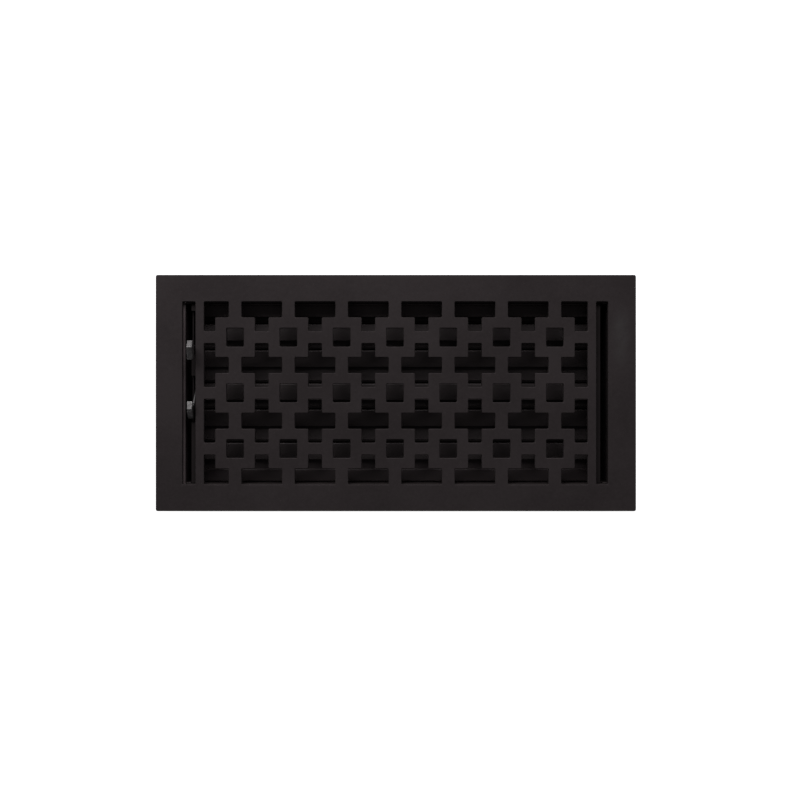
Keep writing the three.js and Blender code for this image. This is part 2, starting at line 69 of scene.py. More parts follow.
# Face casting, which the walls of the box all but touch
FACE_HALF_LENGTH = 200.025 * MM
FACE_HALF_WIDTH = 98.425 * MM
FACE_CORNER_RADIUS = 1.6 * MM
FACE_THICKNESS = 4.2 * MM
FACE_BOTTOM = BOX_DEPTH + CLEARANCE
FACE_TOP = FACE_BOTTOM + FACE_THICKNESS
WALL_TOP = FACE_BOTTOM - SEAM
RIM_WIDTH = 4 * MM
RIM_DROP = 3.4 * MM
CAST_ARRIS = 0.45 * MM
CAST_INNER_CORNER = 0.9 * MM
CAST_UNDER_ARRIS = 0.15 * MM

# Fretwork of squares and crosses
COLUMN_PITCH = 44.4 * MM
ROW_PITCH = 46.4 * MM
FRET_OFFSET = -0.7 * MM
SQUARE_COLUMNS = 7
SQUARE_ROWS = 3
SQUARE_HALF_LENGTH = 7.2 * MM
SQUARE_HALF_WIDTH = 7.75 * MM
ARM_HALF_LENGTH = 16.85 * MM
ARM_HALF_WIDTH = 6.6 * MM
STEM_HALF_LENGTH = 18.2 * MM
STEM_HALF_WIDTH = 5.6 * MM
FRET_HALF_LENGTH = 159.8 * MM
FRET_HALF_WIDTH = 76.2 * MM
SLOT_INNER = 166.95 * MM
SLOT_OUTERS = {-1: -177.75 * MM, 1: 176.75 * MM}

# Louver blades: across is where the rod lies in Y, tip the degrees by which the front edge is up,
# and side the end that has the crank
ROD_HEIGHT = 22.5 * MM
ROD_RADIUS = 1.6 * MM
ROD_END = 172.2 * MM
ROD_END_CHAMFER = 0.3 * MM
SHEET = 0.9 * MM
FACE_RISE = 1.8 * MM
BLADE_FACE_REACH = 15.8 * MM
BLADE_FLANGE_REACH = 13.8 * MM
BLADE_END = 163.6 * MM
ROD_BAR_RADIUS = 1.3 * MM
BEND_RADIUS = 0.7 * MM
SHEARED_EDGE = 0.16 * MM
BLADES = {
    "blade_1": {"across": 60.4 * MM, "tip": 4, "side": 1},
    "blade_2": {"across": 38.2 * MM, "tip": -4, "side": -1},
    "blade_3": {"across": 9.9 * MM, "tip": 4, "side": 1},
    "blade_4": {"across": -12.3 * MM, "tip": -4, "side": -1},
    "blade_5": {"across": -40.6 * MM, "tip": 4, "side": 1},
}

# Cranks, which start some degrees from straight down
CRANK_RADIUS = 9 * MM
CRANK_START = 26
CRANK_INNER = BLADE_END + CLEARANCE
CRANK_PLATE = 1.4 * MM
CRANK_HALF_WIDTH = 3.2 * MM
CRANK_PIN_RADIUS = 1.15 * MM
CRANK_PIN_END = 167.1 * MM
PLATE_ARRIS = 0.2 * MM

# Fixed ledges
LEDGE_END = 169.4 * MM
LEDGE_REACH = SIDE_WALL_FACE - CLEARANCE
BACK_LEDGE_WIDTH = 10.45 * MM
BACK_LEDGE_TOP = 28 * MM
FRONT_LEDGE_ROD = -62.8 * MM
LEDGE_LEG = 8 * MM

# Levers, with the outline of a knob in Y and Z about its rod, and the degrees by which the arm and
# the knob lean to the front
LEVER_INNER = 168.1 * MM
LEVER_PLATE = 1.3 * MM
LEVER_ARM_WIDTH = 6.4 * MM
LEVER_ARM_HEIGHT = 31.05 * MM
LEVER_ARM_ARRIS = 0.35 * MM
LEVER_HUB_RADIUS = 4.2 * MM
KNOB_THICKNESS = 4.6 * MM
KNOB_ARRIS = 0.65 * MM
KNOB_OUTLINE = [(y * MM, z * MM) for y, z in (
    (8.0, 35.1), (2.2, 39.5), (-7.4, 36.5), (-8.0, 35.8), (-8.3, 34.9), (-8.25, 33.6),
    (-7.4, 31.7), (-3.2, 28.0), (3.2, 28.0),
)]
LEVERS = {
    "lever_upright": {
        "body": "blade_2", "arm_lean": 4.5, "knob_lean": 2, "knob_centre": -169.6 * MM,
    },
    "lever_leaning": {
        "body": "blade_3", "arm_lean": 46, "knob_lean": 24, "knob_centre": -170.9 * MM,
    },
}

# Screws
SCREW_ARRIS = 0.15 * MM
SCREW_COUNTS = {"box_screw": 6, "bracket_screw": 4}
SCREWS = {
    "box_screw": {
        "seat": 40.9 * MM, "washer_radius": 3.5 * MM, "washer": 0.45 * MM, "hex_radius": 2.55 * MM,
        "head_height": 1.3 * MM, "shank_radius": 1.8 * MM, "shank": 3.5 * MM,
    },
    "bracket_screw": {
        "seat": 40.5 * MM, "washer_radius": 2.6 * MM, "washer": 0.4 * MM, "hex_radius": 1.9 * MM,
        "head_height": 1.2 * MM, "shank_radius": 1.3 * MM, "shank": 3.8 * MM,
    },
}

# A face narrower than this belongs to a rounding and is shaded smooth, and so is an edge where
# two faces meet at less than the angle
WIDEST_CURVED_FACE = 0.6 * MM
SMOOTH_BELOW = math.radians(35)

# Small distances: between points that count as one, between lines that do, and near a corner
MERGE_DISTANCE = 0.002 * MM
SAME_LINE = 0.01 * MM
NEAR_CORNER = 0.1 * MM

# Colours of the finishes, and the tints of their shine
IRON_DARK = (0.0235, 0.0189, 0.0198)
IRON_PALE = (0.0355, 0.0292, 0.0305)
IRON_DUST = (0.070, 0.061, 0.062)
IRON_PALE_PATCH = (0.058, 0.055, 0.055)
IRON_SHINE = (1.0, 0.86, 0.89, 1.0)
SHEET_DARK = (0.0163, 0.0128, 0.0132)
SHEET_PALE = (0.0250, 0.0199, 0.0206)
SHEET_SHINE = (1.0, 0.9, 0.92, 1.0)
LEVER_CLEAN = (0.208, 0.2, 0.202)
LEVER_WORN = (0.128, 0.121, 0.123)
SCREW_PALE = (0.10, 0.095, 0.1)
SCREW_DARK = (0.06, 0.056, 0.058)

# Camera: straight above, a little off the middle, as in the photograph
CAMERA_PLACE = (3.45 * MM, -5.8 * MM, 1044.8 * MM)
CAMERA_LENS = 53.95
CAMERA_CLIP_START = 10 * MM

# A paler patch on the border of the casting
PALE_PATCH_PLACE = (187.5 * MM, 48 * MM, FACE_TOP)
PALE_PATCH_REACH = (9 * MM, 26 * MM, 9 * MM)

# Light: a wide window at the back, in metres and watts, and the room's own soft light
WINDOW = {"place": (-0.35, 1.5, 1.4), "aim": (0, 0, 0.02), "size": (2.7, 1.1), "power": 31}
AIR_LIGHT = 0.065

# The floor glows evenly, like a studio table lit from below, but round the box it has a dark tone
# and no glow: painted shade for the box's shadow. The painted shade fades out between the two
# distances from the middle
FLOOR_HALF_SIZE = 6
FLOOR_PALE = (0.6, 0.6, 0.6)
FLOOR_SHADE = (0.05, 0.05, 0.05)
FLOOR_GLOW = 0.98
BOX_SHADE_X = (0.187, 0.206)
BOX_SHADE_Y = (0.081, 0.1)


# Helpers

def add_node(tree, kind, inputs=None, **settings):
    made = tree.nodes.new(kind)
    for name, value in settings.items():
        setattr(made, name, value)
    for name, value in (inputs or {}).items():
        if isinstance(value, bpy.types.NodeSocket):
            tree.links.new(value, made.inputs[name])
        else:
            made.inputs[name].default_value = value
    return made


def start_material(name):
    made = bpy.data.materials.new(name)
    made.use_nodes = True
    made.node_tree.nodes.clear()
    return made, made.node_tree


def object_point(tree, stretch=(1, 1, 1)):
    place = add_node(tree, "ShaderNodeTexCoord").outputs["Object"]
    return add_node(tree, "ShaderNodeMapping", {"Vector": place, "Scale": stretch}).outputs[0]


def noise(tree, point, scale, detail, roughness=0.5):
    return add_node(tree, "ShaderNodeTexNoise", {
        "Vector": point, "Scale": scale, "Detail": detail, "Roughness": roughness,
    }).outputs["Fac"]


def map_range(tree, value, low, high, to_low, to_high):
    return add_node(tree, "ShaderNodeMapRange", {
        "Value": value, "From Min": low, "From Max": high, "To Min": to_low, "To Max": to_high,
    }).outputs[0]


def blend_colours(tree, factor, first, second):
    made = add_node(tree, "ShaderNodeMix", data_type="RGBA")
    tree.links.new(factor, made.inputs[0])
    for slot, value in ((6, first), (7, second)):
        if isinstance(value, bpy.types.NodeSocket):
            tree.links.new(value, made.inputs[slot])
        else:
            made.inputs[slot].default_value = (*value, 1)
    return made.outputs[2]


def bump(tree, height, strength, distance, under=None):
    inputs = {"Height": height, "Strength": strength, "Distance": distance}
    if under is not None:
        inputs["Normal"] = under
    return add_node(tree, "ShaderNodeBump", inputs).outputs[0]


def finish_surface(tree, inputs):
    shader = add_node(tree, "ShaderNodeBsdfPrincipled", inputs)
    add_node(tree, "ShaderNodeOutputMaterial", {"Surface": shader.outputs[0]})


# Finishes

def pale_patch(tree, point):
    """A soft paler patch on the right-hand border, broken up by noise."""
    from_middle = add_node(tree, "ShaderNodeMapping", {
        "Vector": point, "Scale": [1 / reach for reach in PALE_PATCH_REACH],
        "Location": [-place / reach for place, reach in zip(PALE_PATCH_PLACE, PALE_PATCH_REACH)],
    }).outputs[0]
    away = add_node(
        tree, "ShaderNodeVectorMath", {0: from_middle}, operation="LENGTH",
    ).outputs["Value"]
    spread = map_range(tree, away, 0.35, 1.1, 0.6, 0)
    broken = map_range(tree, noise(tree, point, 90, 3, 0.6), 0.3, 0.6, 0.35, 1)
    return add_node(tree, "ShaderNodeMath", {0: spread, 1: broken}, operation="MULTIPLY").outputs[0]


def coated_iron():
    """Sand-cast iron under a thin matt black coating: gritty, softly uneven, faintly brown."""
    made, tree = start_material("coated_iron")
    point = object_point(tree)
    grit = noise(tree, point, 1500, 5, 0.65)
    ripple = noise(tree, point, 150, 3)
    stain = noise(tree, point, 14, 3, 0.6)
    mottle = noise(tree, point, 420, 3, 0.6)
    speck = noise(tree, point, 620, 2, 0.7)
    dust = map_range(tree, speck, 0.64, 0.8, 0, 0.6)
    uneven = add_node(tree, "ShaderNodeMath", {
        0: map_range(tree, stain, 0.35, 0.68, 0, 1), 1: map_range(tree, mottle, 0.3, 0.7, -0.3, 0.3),
    }, operation="ADD").outputs[0]
    toned = blend_colours(tree, uneven, IRON_DARK, IRON_PALE)
    colour = blend_colours(tree, dust, toned, IRON_DUST)
    colour = blend_colours(tree, pale_patch(tree, point), colour, IRON_PALE_PATCH)
    rough = map_range(tree, ripple, 0.3, 0.7, 0.58, 0.66)
    normal = bump(tree, ripple, 0.26, 0.35 * MM)
    normal = bump(tree, grit, 0.8, 0.08 * MM, normal)
    finish_surface(tree, {
        "Base Color": colour, "Roughness": rough, "Normal": normal,
        "Metallic": 0.0, "Specular IOR Level": 0.44, "Specular Tint": IRON_SHINE,
    })
    return made


def coated_sheet(name, tone, shine, roughness):
    """Cold rolled sheet steel with a thin black coating. A higher tone is a paler one and a lower
    tone a darker one; tones other than the plain coat's are painted light and painted shade.
    """
    made, tree = start_material(name)
    point = object_point(tree)
    rolled = noise(tree, object_point(tree, (0.08, 1, 1)), 900, 4, 0.6)
    grain = noise(tree, point, 1100, 4, 0.6)
    cloud = noise(tree, point, 26, 3, 0.55)
    dark, pale = ([part * tone for part in colour] for colour in (SHEET_DARK, SHEET_PALE))
    colour = blend_colours(tree, map_range(tree, cloud, 0.35, 0.7, 0, 1), dark, pale)
    rough = map_range(tree, rolled, 0.3, 0.7, roughness - 0.06, roughness + 0.07)
    normal = bump(tree, rolled, 0.14, 0.05 * MM)
    normal = bump(tree, grain, 0.3, 0.05 * MM, normal)
    finish_surface(tree, {
        "Base Color": colour, "Roughness": rough, "Normal": normal,
        "Metallic": 0.0, "Specular IOR Level": shine, "Specular Tint": SHEET_SHINE,
    })
    return made


def worn_steel():
    """Grey lever steel, dulled by handling, with fine filing marks and darker patches."""
    made, tree = start_material("worn_steel")
    point = object_point(tree)
    filed = noise(tree, object_point(tree, (1, 0.12, 0.12)), 1500, 4, 0.6)
    patch = noise(tree, point, 240, 4, 0.65)
    pits = noise(tree, point, 1300, 3, 0.6)
    worn = map_range(tree, patch, 0.42, 0.66, 0, 1)
    colour = blend_colours(tree, worn, LEVER_CLEAN, LEVER_WORN)
    rough = map_range(tree, filed, 0.3, 0.7, 0.34, 0.5)
    normal = bump(tree, filed, 0.2, 0.05 * MM)
    normal = bump(tree, pits, 0.25, 0.05 * MM, normal)
    finish_surface(tree, {
        "Base Color": colour, "Roughness": rough, "Normal": normal, "Metallic": 0.85,
    })
    return made


def dark_screw_steel():
    """Blued screw steel: dark, with a soft shine and fine grain."""
    made, tree = start_material("dark_screw_steel")
    point = object_point(tree)
    grain = noise(tree, point, 1700, 4, 0.6)
    cloud = noise(tree, point, 420, 3, 0.6)
    dulled = map_range(tree, cloud, 0.35, 0.7, 0, 1)
    colour = blend_colours(tree, dulled, SCREW_PALE, SCREW_DARK)
    rough = map_range(tree, grain, 0.3, 0.7, 0.3, 0.45)
    finish_surface(tree, {
        "Base Color": colour, "Roughness": rough, "Metallic": 0.9,
        "Normal": bump(tree, grain, 0.25, 0.04 * MM),
    })
    return made


COATED_IRON = coated_iron()
COATED_SHEET = coated_sheet("coated_sheet", tone=1.35, shine=0.5, roughness=0.48)
# The back ledge is the coated sheet drawn paler: painted light
BACK_LEDGE_PAINTED_LIGHT_SHEET = coated_sheet("back_ledge_painted_light_sheet", tone=3.3, shine=0.5, roughness=0.5)
# The front ledge is the coated sheet drawn paler: painted light
FRONT_LEDGE_PAINTED_LIGHT_SHEET = coated_sheet("front_ledge_painted_light_sheet", tone=2.3, shine=0.5, roughness=0.5)
# The brackets are the coated sheet drawn darker and duller: painted shade
BRACKET_PAINTED_SHADE_SHEET = coated_sheet("bracket_painted_shade_sheet", tone=0.7, shine=0.22, roughness=0.6)
# The end flanges are the coated sheet drawn much paler: painted light
FLANGE_PAINTED_LIGHT_SHEET = coated_sheet("flange_painted_light_sheet", tone=5.5, shine=0.6, roughness=0.48)
# Rods, cranks and link bars are the coated sheet drawn darker with little shine: painted shade
PAINTED_SHADE_SHEET = coated_sheet("painted_shade_sheet", tone=0.3, shine=0.12, roughness=0.7)
WORN_STEEL = worn_steel()
SCREW_STEEL = dark_screw_steel()


# Piece making

def keep_piece(bm, name, body, finish, nodes=()):
    """Makes bm an object that rides on body and stands for nodes."""
    bmesh.ops.remove_doubles(bm, verts=bm.verts, dist=MERGE_DISTANCE)
    bmesh.ops.recalc_face_normals(bm, faces=bm.faces)
    for face in bm.faces:
        mean_width = 2 * face.calc_area() / sum(edge.calc_length() for edge in face.edges)
        face.smooth = mean_width < WIDEST_CURVED_FACE
    for edge in bm.edges:
        if len(edge.link_faces) == 2:
            edge.smooth = edge.calc_face_angle() < SMOOTH_BELOW
    mesh = bpy.data.meshes.new(name)
    bm.to_mesh(mesh)
    bm.free()
    mesh.materials.append(finish)
    piece = bpy.data.objects.new(name, mesh)
    bpy.context.scene.collection.objects.link(piece)
    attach(piece, body)
    if nodes:
        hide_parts(*nodes)


def soften(bm, edges, width, segments=2):
    """Rounds edges, up to width from each of them."""
    bmesh.ops.bevel(
        bm, geom=edges, offset=width, offset_type="OFFSET", affect="EDGES", segments=segments,
        profile=0.5, material=-1, clamp_overlap=True,
    )


def sharp_edges(bm, least=50):
    """The edges whose faces meet at more than least degrees."""
    return [
        edge for edge in bm.edges
        if len(edge.link_faces) == 2 and edge.calc_face_angle() > math.radians(least)
    ]


def tip_about_rod(bm, verts, across, degrees):
    """Turns verts about a rod at across, the front edge up where degrees is positive."""
    bmesh.ops.rotate(
        bm, verts=verts, cent=(0, across, ROD_HEIGHT),
        matrix=Matrix.Rotation(math.radians(-degrees), 3, "X"),
    )


def move_swept(bm, swept, vec):
    """Moves the vertices that an extrusion has made."""
    moved = [item for item in swept["geom"] if isinstance(item, bmesh.types.BMVert)]
    bmesh.ops.translate(bm, verts=moved, vec=vec)


def add_strip(bm, section, x0, x1, sheet=SHEET):
    """Sheet metal bent along X. section holds the middle line of the sheet in Y and Z, whose inner
    corners are bent round, and the cut edges are eased."""
    fresh = bmesh.new()
    points = [fresh.verts.new((x0, y, z)) for y, z in section]
    for first, second in zip(points, points[1:]):
        fresh.edges.new((first, second))
    bmesh.ops.bevel(
        fresh, geom=points[1:-1], offset=BEND_RADIUS, offset_type="OFFSET", affect="VERTICES",
        segments=4, profile=0.5, material=-1,
    )
    swept = bmesh.ops.extrude_edge_only(fresh, edges=fresh.edges[:])
    move_swept(fresh, swept, (x1 - x0, 0, 0))
    bmesh.ops.recalc_face_normals(fresh, faces=fresh.faces)
    middle = {vert: vert.normal.copy() for vert in fresh.verts}
    for vert, normal in middle.items():
        vert.co -= normal * (sheet / 2)
    bmesh.ops.solidify(fresh, geom=fresh.faces[:], thickness=-sheet)
    bmesh.ops.recalc_face_normals(fresh, faces=fresh.faces)
    soften(fresh, sharp_edges(fresh, 60), SHEARED_EDGE)
    return merge_into(bm, fresh)


def merge_into(bm, fresh):
    """Adds the mesh fresh to bm and returns its vertices there."""
    known = set(bm.verts)
    carrier = bpy.data.meshes.new("carrier")
    fresh.to_mesh(carrier)
    fresh.free()
    bm.from_mesh(carrier)
    bpy.data.meshes.remove(carrier)
    return [vert for vert in bm.verts if vert not in known]


def add_block(bm, low, high, arris=0):
    """A rectangular block between two corners, with its edges eased by arris."""
    fresh = bmesh.new()
    bmesh.ops.create_cube(fresh, size=1)
    size = Vector(high) - Vector(low)
    bmesh.ops.scale(fresh, verts=fresh.verts, vec=size)
    bmesh.ops.translate(fresh, verts=fresh.verts, vec=(Vector(low) + Vector(high)) / 2)
    if arris:
        soften(fresh, fresh.edges[:], arris)
    return merge_into(bm, fresh)


def add_bar(bm, radius, x0, x1, y, z, chamfer, segments=24):
    """A round bar along X."""
    fresh = bmesh.new()
    bmesh.ops.create_cone(
        fresh, cap_ends=True, segments=segments, radius1=radius, radius2=radius,
        depth=abs(x1 - x0),
    )
    soften(fresh, sharp_edges(fresh, 60), chamfer)
    bmesh.ops.rotate(fresh, verts=fresh.verts, matrix=Matrix.Rotation(math.radians(90), 3, "Y"))
    bmesh.ops.translate(fresh, verts=fresh.verts, vec=((x0 + x1) / 2, y, z))
    return merge_into(bm, fresh)


def add_round_ended_plate(bm, half_width, reach, x0, x1):
    """A plate across X with round ends, from 0, 0 to reach straight up."""
    fresh = bmesh.new()
    bmesh.ops.create_circle(fresh, cap_ends=True, segments=24, radius=half_width)
    far = [vert for vert in fresh.verts if vert.co.y > SAME_LINE]
    bmesh.ops.translate(fresh, verts=far, vec=(0, reach, 0))
    return finish_outline(bm, fresh, x0, x1, PLATE_ARRIS)


def finish_outline(bm, fresh, x0, x1, arris):
    """Gives the flat outline in fresh, drawn in its X and Y, a thickness along X from x0 to x1."""
    swept = bmesh.ops.extrude_face_region(fresh, geom=fresh.faces[:])
    move_swept(fresh, swept, (0, 0, x1 - x0))
    bmesh.ops.recalc_face_normals(fresh, faces=fresh.faces)
    soften(fresh, sharp_edges(fresh, 30), arris)
    onto_x = Matrix(((0, 0, 1), (1, 0, 0), (0, 1, 0)))
    bmesh.ops.transform(fresh, verts=fresh.verts, matrix=onto_x.to_4x4())
    bmesh.ops.translate(fresh, verts=fresh.verts, vec=(x0, 0, 0))
    return merge_into(bm, fresh)


# Face casting

def ordered_lines(values):
    """The values in order, without those that repeat another."""
    lines = []
    for value in sorted(values):
        if not lines or value - lines[-1] > SAME_LINE:
            lines.append(value)
    return lines


def clipped(value, limit):
    return max(-limit, min(limit, value))


def cross_centres():
    return [
        (
            (column - SQUARE_COLUMNS / 2) * COLUMN_PITCH + FRET_OFFSET,
            (row - SQUARE_ROWS / 2) * ROW_PITCH,
        )
        for column in range(SQUARE_COLUMNS + 1) for row in range(SQUARE_ROWS + 1)
    ]


def square_centres():
    return [
        (
            (column - (SQUARE_COLUMNS - 1) / 2) * COLUMN_PITCH + FRET_OFFSET,
            (row - (SQUARE_ROWS - 1) / 2) * ROW_PITCH,
        )
        for column in range(SQUARE_COLUMNS) for row in range(SQUARE_ROWS)
    ]


def in_opening(x, y):
    """True where the casting is open: in a lever slot, a square or a cross of the fretwork."""
    if abs(y) > FRET_HALF_WIDTH:
        return False
    if SLOT_INNER < abs(x) < abs(SLOT_OUTERS[math.copysign(1, x)]):
        return True
    if abs(x) > FRET_HALF_LENGTH:
        return False
    for centre_x, centre_y in square_centres():
        if abs(x - centre_x) < SQUARE_HALF_LENGTH and abs(y - centre_y) < SQUARE_HALF_WIDTH:
            return True
    for centre_x, centre_y in cross_centres():
        across, along = abs(x - centre_x), abs(y - centre_y)
        if across < ARM_HALF_LENGTH and along < ARM_HALF_WIDTH:
            return True
        if across < STEM_HALF_WIDTH and along < STEM_HALF_LENGTH:
            return True
    return False


def cast_face():
    """The casting: a grid of cells with the openings left out, given its thickness and its rim,
    and softened at every corner as a sand casting is."""
    rim_x = FACE_HALF_LENGTH - RIM_WIDTH
    rim_y = FACE_HALF_WIDTH - RIM_WIDTH
    columns = [s * v for s in (-1, 1) for v in (FACE_HALF_LENGTH, rim_x, SLOT_INNER)]
    columns.extend(SLOT_OUTERS.values())
    rows = [s * v for s in (-1, 1) for v in (FACE_HALF_WIDTH, rim_y)]
    for centre_x, centre_y in cross_centres():
        for side in (-1, 1):
            columns.append(clipped(centre_x + side * ARM_HALF_LENGTH, FRET_HALF_LENGTH))
            columns.append(clipped(centre_x + side * STEM_HALF_WIDTH, FRET_HALF_LENGTH))
            rows.append(clipped(centre_y + side * ARM_HALF_WIDTH, FRET_HALF_WIDTH))
            rows.append(clipped(centre_y + side * STEM_HALF_LENGTH, FRET_HALF_WIDTH))
    for centre_x, centre_y in square_centres():
        for side in (-1, 1):
            columns.append(centre_x + side * SQUARE_HALF_LENGTH)
            rows.append(centre_y + side * SQUARE_HALF_WIDTH)
    columns, rows = ordered_lines(columns), ordered_lines(rows)
    last_column, last_row = len(columns) - 1, len(rows) - 1
    bm = bmesh.new()
    bmesh.ops.create_grid(bm, x_segments=last_column, y_segments=last_row, size=1)
    for vert in bm.verts:
        column = round((vert.co.x + 1) / 2 * last_column)
        row = round((vert.co.y + 1) / 2 * last_row)
        vert.co = (columns[column], rows[row], FACE_TOP)
    open_cells = [face for face in bm.faces if in_opening(*face.calc_center_median()[:2])]
    bmesh.ops.delete(bm, geom=open_cells, context="FACES")
    swept = bmesh.ops.extrude_face_region(bm, geom=bm.faces[:])
    move_swept(bm, swept, (0, 0, FACE_BOTTOM - FACE_TOP))
    under = [item for item in swept["geom"] if isinstance(item, bmesh.types.BMFace)]
    rim = [
        face for face in under
        if abs(face.calc_center_median().x) > rim_x or abs(face.calc_center_median().y) > rim_y
    ]
    swept = bmesh.ops.extrude_face_region(bm, geom=rim)
    move_swept(bm, swept, (0, 0, -RIM_DROP))
    bmesh.ops.recalc_face_normals(bm, faces=bm.faces)
    round_corners(bm)
    ease_arrises(bm)
    keep_piece(bm, "cast_face", "root", COATED_IRON, ["face_plate"])


def is_outer_corner(edge):
    middle = (edge.verts[0].co + edge.verts[1].co) / 2
    return (
        abs(middle.x) > FACE_HALF_LENGTH - NEAR_CORNER
        and abs(middle.y) > FACE_HALF_WIDTH - NEAR_CORNER
    )


def stands_up(edge):
    return abs(edge.verts[0].co.z - edge.verts[1].co.z) > NEAR_CORNER


def lies_at(edge, height):
    return all(abs(vert.co.z - height) < SAME_LINE for vert in edge.verts)


def round_corners(bm):
    """Rounds the standing corners, the outer ones more than those of the openings."""
    inner = [edge for edge in sharp_edges(bm) if stands_up(edge) and not is_outer_corner(edge)]
    soften(bm, inner, CAST_INNER_CORNER)
    outer = [edge for edge in sharp_edges(bm) if stands_up(edge) and is_outer_corner(edge)]
    soften(bm, outer, FACE_CORNER_RADIUS, 4)


def ease_arrises(bm):
    """Eases the arrises round the top of the casting, and less round its underside."""
    top = [edge for edge in sharp_edges(bm) if lies_at(edge, FACE_TOP)]
    soften(bm, top, CAST_ARRIS, 3)
    under = [
        edge for edge in sharp_edges(bm)
        if lies_at(edge, FACE_BOTTOM) and min(face.normal.z for face in edge.link_faces) < -0.9
    ]
    soften(bm, under, CAST_UNDER_ARRIS, 1)


# Louvers

def blade_section(across, face_reach, flange_reach):
    """The middle line of a blade's sheet: the flange under the rod, the step and the face."""
    flange = ROD_HEIGHT - ROD_RADIUS - SHEET / 2
    step = across - ROD_RADIUS - SHEET / 2
    face = ROD_HEIGHT + FACE_RISE - SHEET / 2
    return [
        (across + flange_reach, flange), (step, flange), (step, face), (across - face_reach, face),
    ]


def louver_blade(body, across, tip, side):
    """A blade's stepped sheet, its rod, and the crank on its left end (side -1) or right end (1)."""
    number = body[-1]
    bm = bmesh.new()
    section = blade_section(across, BLADE_FACE_REACH, BLADE_FLANGE_REACH)
    verts = add_strip(bm, section, -BLADE_END, BLADE_END)
    tip_about_rod(bm, verts, across, tip)
    node = f"louver_blade_{number}"
    keep_piece(bm, f"blade_sheet_{number}", body, COATED_SHEET, [node])
    bm = bmesh.new()
    add_bar(bm, ROD_BAR_RADIUS, -ROD_END, ROD_END, across, ROD_HEIGHT, ROD_END_CHAMFER)
    # The rod is drawn dark with little shine: painted shade
    keep_piece(bm, f"blade_rod_{number}", body, PAINTED_SHADE_SHEET)
    bm = bmesh.new()
    inner = CRANK_INNER if side > 0 else -CRANK_INNER - CRANK_PLATE
    verts = add_round_ended_plate(bm, CRANK_HALF_WIDTH, CRANK_RADIUS, inner, inner + CRANK_PLATE)
    ends = sorted((side * CRANK_INNER, side * CRANK_PIN_END))
    verts += add_bar(bm, CRANK_PIN_RADIUS, *ends, 0, CRANK_RADIUS, PLATE_ARRIS, 16)
    bmesh.ops.rotate(
        bm, verts=verts, matrix=Matrix.Rotation(math.radians(180 + CRANK_START), 3, "X"),
    )
    bmesh.ops.translate(bm, verts=verts, vec=(0, across, ROD_HEIGHT))
    # The crank is drawn dark with little shine: painted shade
    keep_piece(bm, f"blade_crank_{number}", body, PAINTED_SHADE_SHEET)


def fixed_ledges():
    """The strips along the side walls that the end blades close on."""
    bm = bmesh.new()
    half = SHEET / 2
    edge = LEDGE_REACH - BACK_LEDGE_WIDTH
    section = [
        (edge, BACK_LEDGE_TOP - half), (LEDGE_REACH - half, BACK_LEDGE_TOP - half),
        (LEDGE_REACH - half, BACK_LEDGE_TOP + LEDGE_LEG),
    ]
    add_strip(bm, section, -LEDGE_END, LEDGE_END)
    # The back ledge is drawn paler than the coated sheet: painted light
    keep_piece(bm, "back_ledge", "root", BACK_LEDGE_PAINTED_LIGHT_SHEET, ["stop_ledge_back"])
    bm = bmesh.new()
    section = blade_section(
        FRONT_LEDGE_ROD, LEDGE_REACH + FRONT_LEDGE_ROD - half, BLADE_FLANGE_REACH,
    )
    section.append((half - LEDGE_REACH, ROD_HEIGHT + FACE_RISE - LEDGE_LEG))
    add_strip(bm, section, -LEDGE_END, LEDGE_END)
    # The front ledge is drawn paler than the coated sheet: painted light
    keep_piece(bm, "front_ledge", "root", FRONT_LEDGE_PAINTED_LIGHT_SHEET, ["stop_ledge_front"])


# Damper box

def end_wall(end, face):
    """An end wall with its corner returns, and the flange under the border of the casting."""
    side = math.copysign(1, face)
    middle = face + side * BOX_WALL / 2
    return_end = face + side * (BOX_WALL - CORNER_RETURN)
    across = SIDE_WALL_FACE - SEAM - BOX_WALL / 2
    section = [(-across, return_end), (-across, middle), (across, middle), (across, return_end)]
    bm = bmesh.new()
    verts = add_strip(bm, section, 0, WALL_TOP, BOX_WALL)
    stand_up = Matrix(((0, 0, 1), (0, 1, 0), (1, 0, 0)))
    bmesh.ops.transform(bm, verts=verts, matrix=stand_up.to_4x4())
    keep_piece(bm, f"box_end_{end}", "root", COATED_SHEET, [f"end_wall_{end}"])
    bm = bmesh.new()
    x0, x1 = sorted((middle, face + side * END_FLANGE_REACH))
    add_block(
        bm, (x0, -END_FLANGE_HALF_WIDTH, BOX_DEPTH - BOX_WALL),
        (x1, END_FLANGE_HALF_WIDTH, WALL_TOP), SHEARED_EDGE,
    )
    # The flange is drawn much paler than the coated sheet: painted light
    keep_piece(bm, f"box_flange_{end}", "root", FLANGE_PAINTED_LIGHT_SHEET)


def side_wall(name, side):
    """A long wall, with three tabs turned outwards under the border of the casting."""
    x0, x1 = END_WALL_FACES["left"] + SEAM, END_WALL_FACES["right"] - SEAM
    outer = SIDE_WALL_FACE + BOX_WALL
    y0, y1 = sorted((side * SIDE_WALL_FACE, side * outer))
    bm = bmesh.new()
    add_block(bm, (x0, y0, 0), (x1, y1, WALL_TOP))
    y0, y1 = sorted((side * (outer - BOX_WALL / 2), side * (outer + SIDE_TAB_REACH)))
    for place in SIDE_TAB_PLACES:
        add_block(
            bm, (place - SIDE_TAB_HALF_LENGTH, y0, BOX_DEPTH - BOX_WALL),
            (place + SIDE_TAB_HALF_LENGTH, y1, BOX_DEPTH), SHEARED_EDGE,
        )
    keep_piece(bm, f"box_side_{name}", "root", COATED_SHEET, [f"side_wall_{name}"])


# Levers

